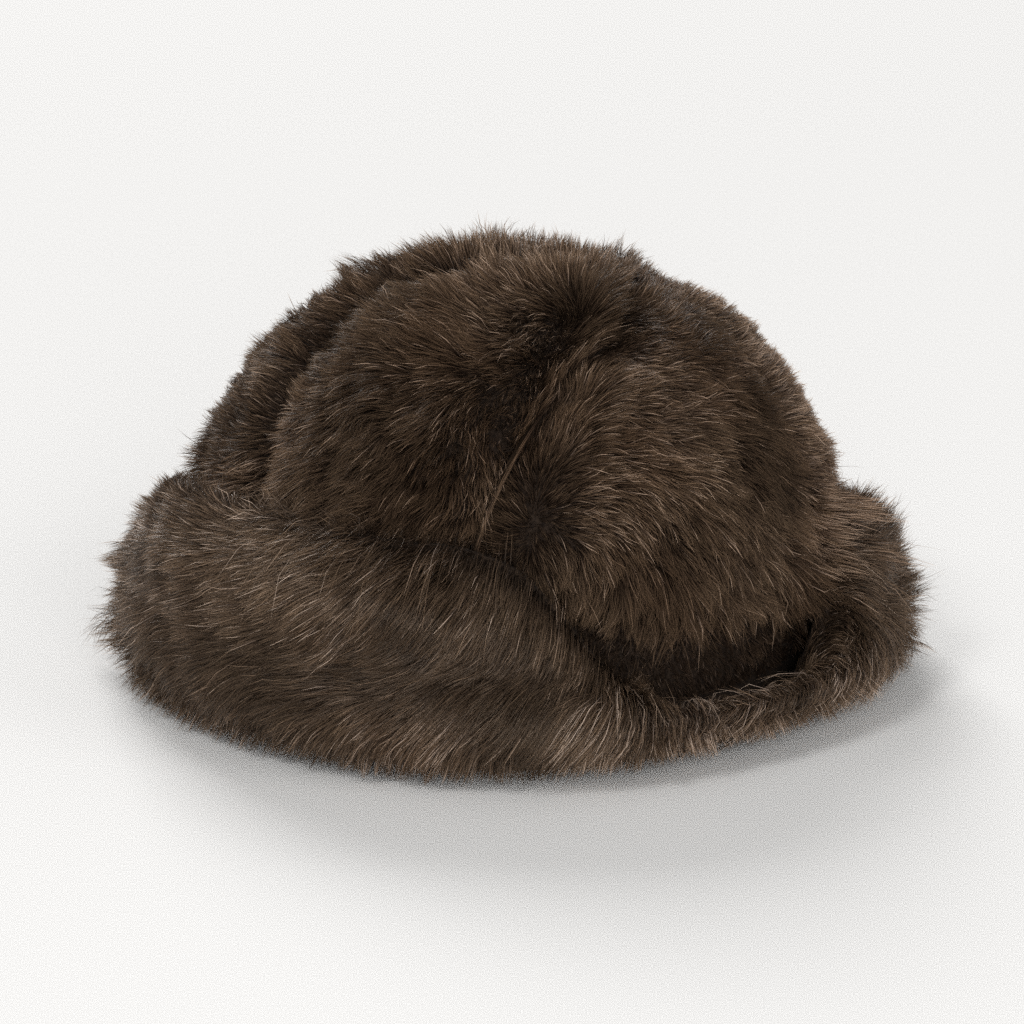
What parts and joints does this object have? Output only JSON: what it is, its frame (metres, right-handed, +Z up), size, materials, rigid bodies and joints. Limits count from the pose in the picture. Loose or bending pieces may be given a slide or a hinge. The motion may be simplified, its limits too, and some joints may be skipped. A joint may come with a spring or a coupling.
{
  "type": "fur beanie with a turned-up cuff",
  "caption": "Soft fur beanie: a domed crown of sewn gores with a wide turned-up cuff that stands on its fold and is opened low on one side of the front.",
  "frame": {"origin": "on the surface the hat stands on, under the middle of the hat", "axes": "+Z up through the crown, -Y towards the hat's front, +X to the right seen from the front"},
  "size_m": [0.2709, 0.2701, 0.1461],
  "materials": {
    "crown_fur": "long-pile fur cloth, dark brown, matt underfur with glossy guard hairs",
    "cuff_fur": "long-pile fur cloth, dark brown, a little lighter than the crown"
  },
  "bodies": {
    "root": {"crown_gore_1": "crown_fur", "crown_gore_2": "crown_fur", "crown_gore_3": "crown_fur", "crown_gore_4": "crown_fur", "crown_gore_5": "crown_fur", "crown_gore_6": "crown_fur", "cuff": "cuff_fur"}
  },
  "joints": []
}
